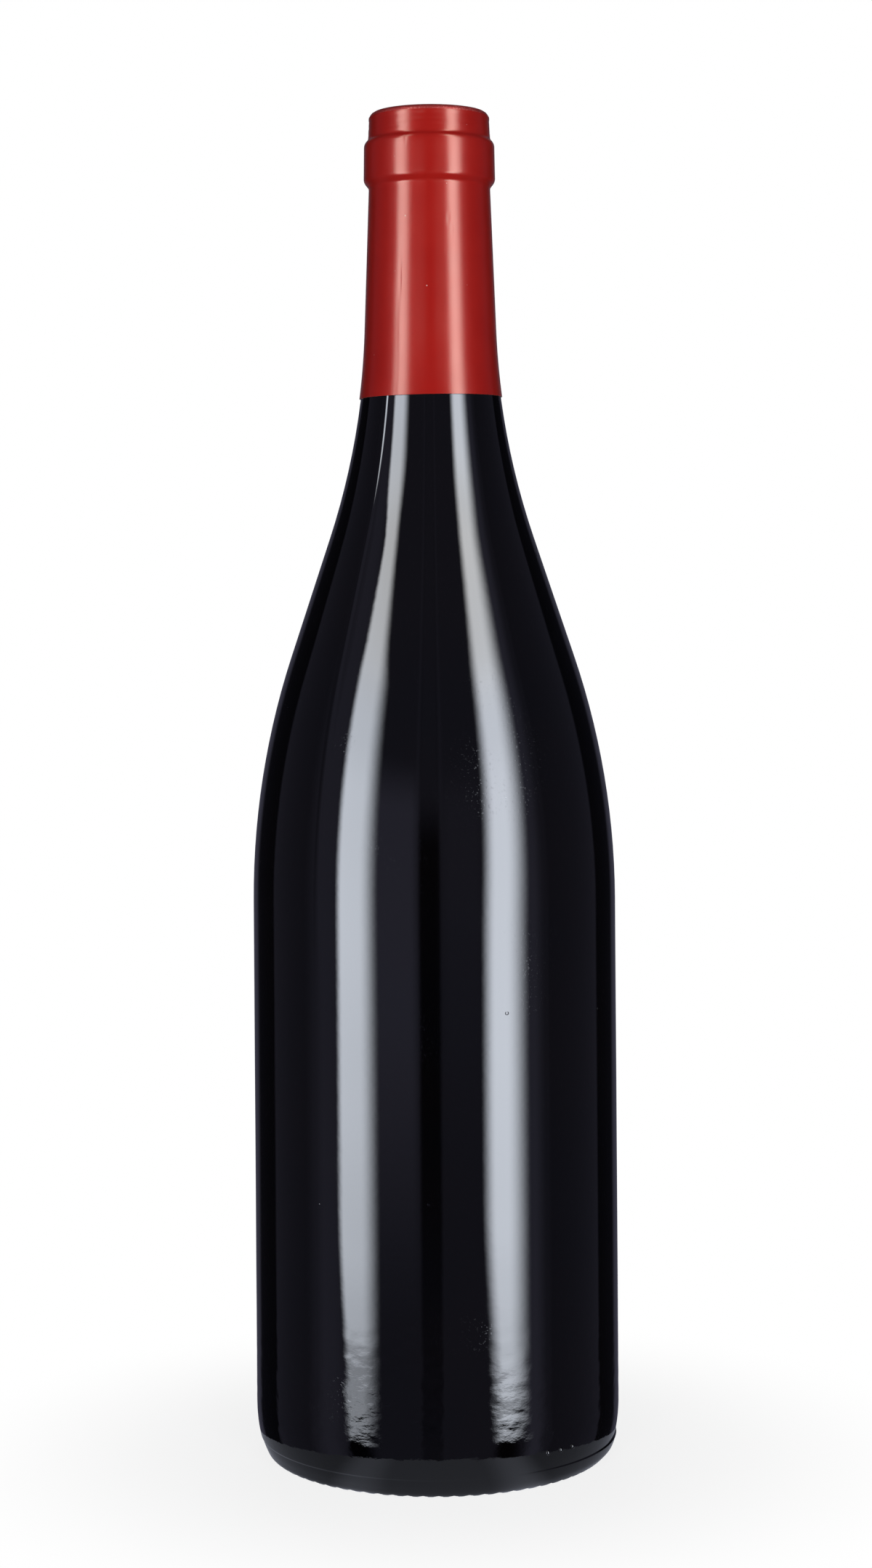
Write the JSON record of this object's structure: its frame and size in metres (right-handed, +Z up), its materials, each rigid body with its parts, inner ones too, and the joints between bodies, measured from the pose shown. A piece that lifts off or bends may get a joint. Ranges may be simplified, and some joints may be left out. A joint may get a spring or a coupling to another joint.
{
  "type": "wine bottle",
  "caption": "Full wine bottle with sloping shoulders in opaque dark glass, closed by a cork under a red capsule with a separate top disc; hollow base and knurled standing ring.",
  "frame": {"origin": "centre of the standing ring, in the plane that the bottle stands on", "axes": "+Z up along the bottle's axis, -Y the front; the row of mould dots is to the right of the front, towards +X"},
  "size_m": [0.0803, 0.0802, 0.2969],
  "materials": {
    "dark_glass": "polished moulded glass, opaque with the red wine behind it",
    "capsule": "satin red, heat-shrunk over the finish",
    "capsule_top": "red lacquered foil, finely mottled"
  },
  "bodies": {
    "root": {"bottle": "dark_glass", "capsule_skirt": "capsule", "capsule_disc": "capsule_top"}
  },
  "joints": []
}
